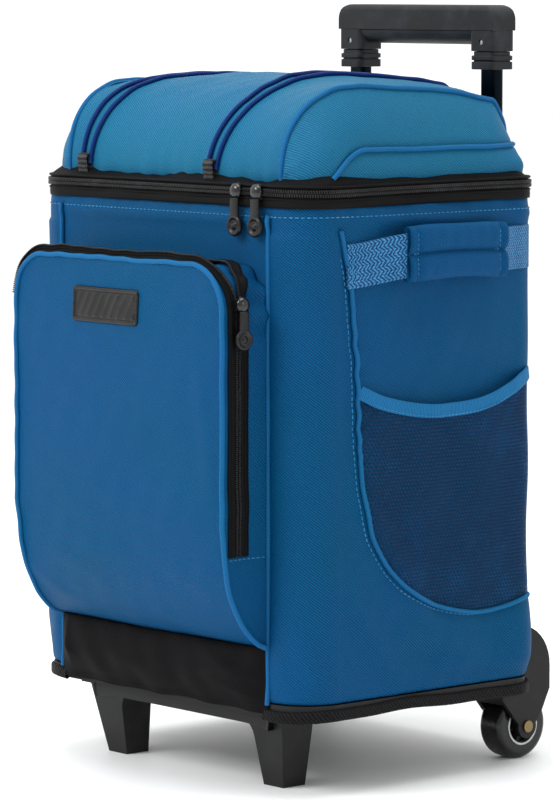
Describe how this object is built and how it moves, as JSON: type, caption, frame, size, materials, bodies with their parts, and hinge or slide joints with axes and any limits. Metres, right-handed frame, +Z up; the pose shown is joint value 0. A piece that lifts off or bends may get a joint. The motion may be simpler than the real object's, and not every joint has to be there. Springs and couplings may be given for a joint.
{
  "type": "wheeled soft cooler",
  "caption": "Soft-sided wheeled cooler with a zipped domed lid, front and mesh side pockets, and a telescoping pull handle.",
  "frame": {"origin": "on the floor, under the middle of the bag's footprint", "axes": "+Z up, +X to the bag's right when its front pocket faces the viewer, +Y towards the back panel and the pull handle"},
  "size_m": [0.3564, 0.3311, 0.5847],
  "materials": {
    "bag_fabric": "woven polyester twill, coated on the back",
    "lid_fabric": "woven polyester twill, coated on the back",
    "black_fabric": "coated woven polyester",
    "mesh": "knitted mesh over woven polyester",
    "webbing": "woven polypropylene webbing",
    "elastic": "folded elastic binding",
    "cord": "braided elastic cord",
    "tab": "folded webbing",
    "zipper": "moulded chain on woven tape",
    "zip_metal": "black enamelled die cast zinc",
    "foam": "closed-cell polyethylene foam",
    "liner": "thermoformed polyethylene",
    "black_plastic": "moulded polypropylene, fine grain",
    "grip_plastic": "moulded polypropylene, coarse grain",
    "tube": "black anodised",
    "tyre": "moulded polyurethane",
    "steel": "zinc plated",
    "rivet": "dark bronze plated",
    "patch": "moulded rubber"
  },
  "bodies": {
    "bag": {"base_board": "black_plastic", "base_cover": "black_fabric", "front_leg_bracket": "black_plastic", "bracket_screws": "steel", "left_wheel_housing": "black_plastic", "right_wheel_housing": "black_plastic", "housing_screws": "steel", "left_axle": "rivet", "right_axle": "rivet", "rear_crossbar": "black_plastic", "handle_top_guide": "black_plastic", "left_outer_tube": "tube", "right_outer_tube": "tube", "back_sleeve": "black_fabric", "bag_shell": "bag_fabric", "foam_lining": "foam", "tub_liner": "liner", "front_boot": "black_fabric", "front_pocket": "bag_fabric", "pocket_zipper": "zipper", "badge": "patch", "left_mesh_pocket": "mesh", "right_mesh_pocket": "mesh", "left_mesh_binding": "elastic", "right_mesh_binding": "elastic", "left_strap": "webbing", "right_strap": "webbing", "left_grip_wrap": "lid_fabric", "right_grip_wrap": "lid_fabric", "lower_zipper": "zipper"},
    "left_wheel": {"left_tyre": "tyre", "left_hub": "black_plastic", "left_bush": "steel"},
    "right_wheel": {"right_tyre": "tyre", "right_hub": "black_plastic", "right_bush": "steel"},
    "handle_mid_stage": {"left_mid_tube": "tube", "right_mid_tube": "tube", "mid_tube_collars": "black_plastic", "mid_tube_plugs": "black_plastic"},
    "handle_grip_stage": {"left_inner_tube": "tube", "right_inner_tube": "tube", "inner_tube_plugs": "black_plastic", "grip_upper_shell": "grip_plastic", "grip_lower_shell": "grip_plastic", "grip_collars": "grip_plastic", "grip_rivets": "rivet"},
    "lid": {"lid_shell": "lid_fabric", "lid_foam": "foam", "lid_skirt": "black_fabric", "lid_cord_tabs": "tab", "left_lid_cords": "cord", "right_lid_cords": "cord", "upper_zipper": "zipper"},
    "left_zip_slider": {"left_slider": "zip_metal"},
    "right_zip_slider": {"right_slider": "zip_metal"},
    "left_zip_puller": {"left_puller": "zip_metal"},
    "right_zip_puller": {"right_puller": "zip_metal"},
    "pocket_zip_slider": {"pocket_slider": "zip_metal"},
    "pocket_zip_puller": {"pocket_puller": "zip_metal"}
  },
  "joints": [
    {"name": "left_wheel_spin", "type": "hinge", "parent": "bag", "child": "left_wheel", "pos_m": [-0.122, 0.131, 0.026], "axis": [1, 0, 0], "continuous": true},
    {"name": "right_wheel_spin", "type": "hinge", "parent": "bag", "child": "right_wheel", "pos_m": [0.122, 0.131, 0.026], "axis": [1, 0, 0], "continuous": true},
    {"name": "handle_mid_slide", "type": "slide", "parent": "bag", "child": "handle_mid_stage", "axis": [0, 0, 1], "range_m": [0, 0.29]},
    {"name": "handle_grip_slide", "type": "slide", "parent": "handle_mid_stage", "child": "handle_grip_stage", "axis": [0, 0, 1], "range_m": [-0.095, 0.185]},
    {"name": "lid_hinge", "type": "hinge", "parent": "bag", "child": "lid", "pos_m": [0, 0.121, 0.449], "axis": [-1, 0, 0], "range_deg": [0, 36]},
    {"name": "left_zip_run", "type": "slide", "parent": "bag", "child": "left_zip_slider", "axis": [1, 0, 0], "range_m": [-0.2, 0.006]},
    {"name": "right_zip_run", "type": "slide", "parent": "bag", "child": "right_zip_slider", "axis": [1, 0, 0], "range_m": [0, 0.006]},
    {"name": "left_puller_swing", "type": "hinge", "parent": "left_zip_slider", "child": "left_zip_puller", "pos_m": [0.09, -0.1261, 0.4465], "axis": [-1, 0, 0], "range_deg": [0, 150]},
    {"name": "right_puller_swing", "type": "hinge", "parent": "right_zip_slider", "child": "right_zip_puller", "pos_m": [0.113, -0.1261, 0.4465], "axis": [-1, 0, 0], "range_deg": [0, 150]},
    {"name": "pocket_zip_run", "type": "slide", "parent": "bag", "child": "pocket_zip_slider", "axis": [0, 0, 1], "range_m": [-0.17, 0]},
    {"name": "pocket_puller_swing", "type": "hinge", "parent": "pocket_zip_slider", "child": "pocket_zip_puller", "pos_m": [0.12791, -0.15, 0.3655], "axis": [0, -1, 0], "range_deg": [0, 150]}
  ]
}
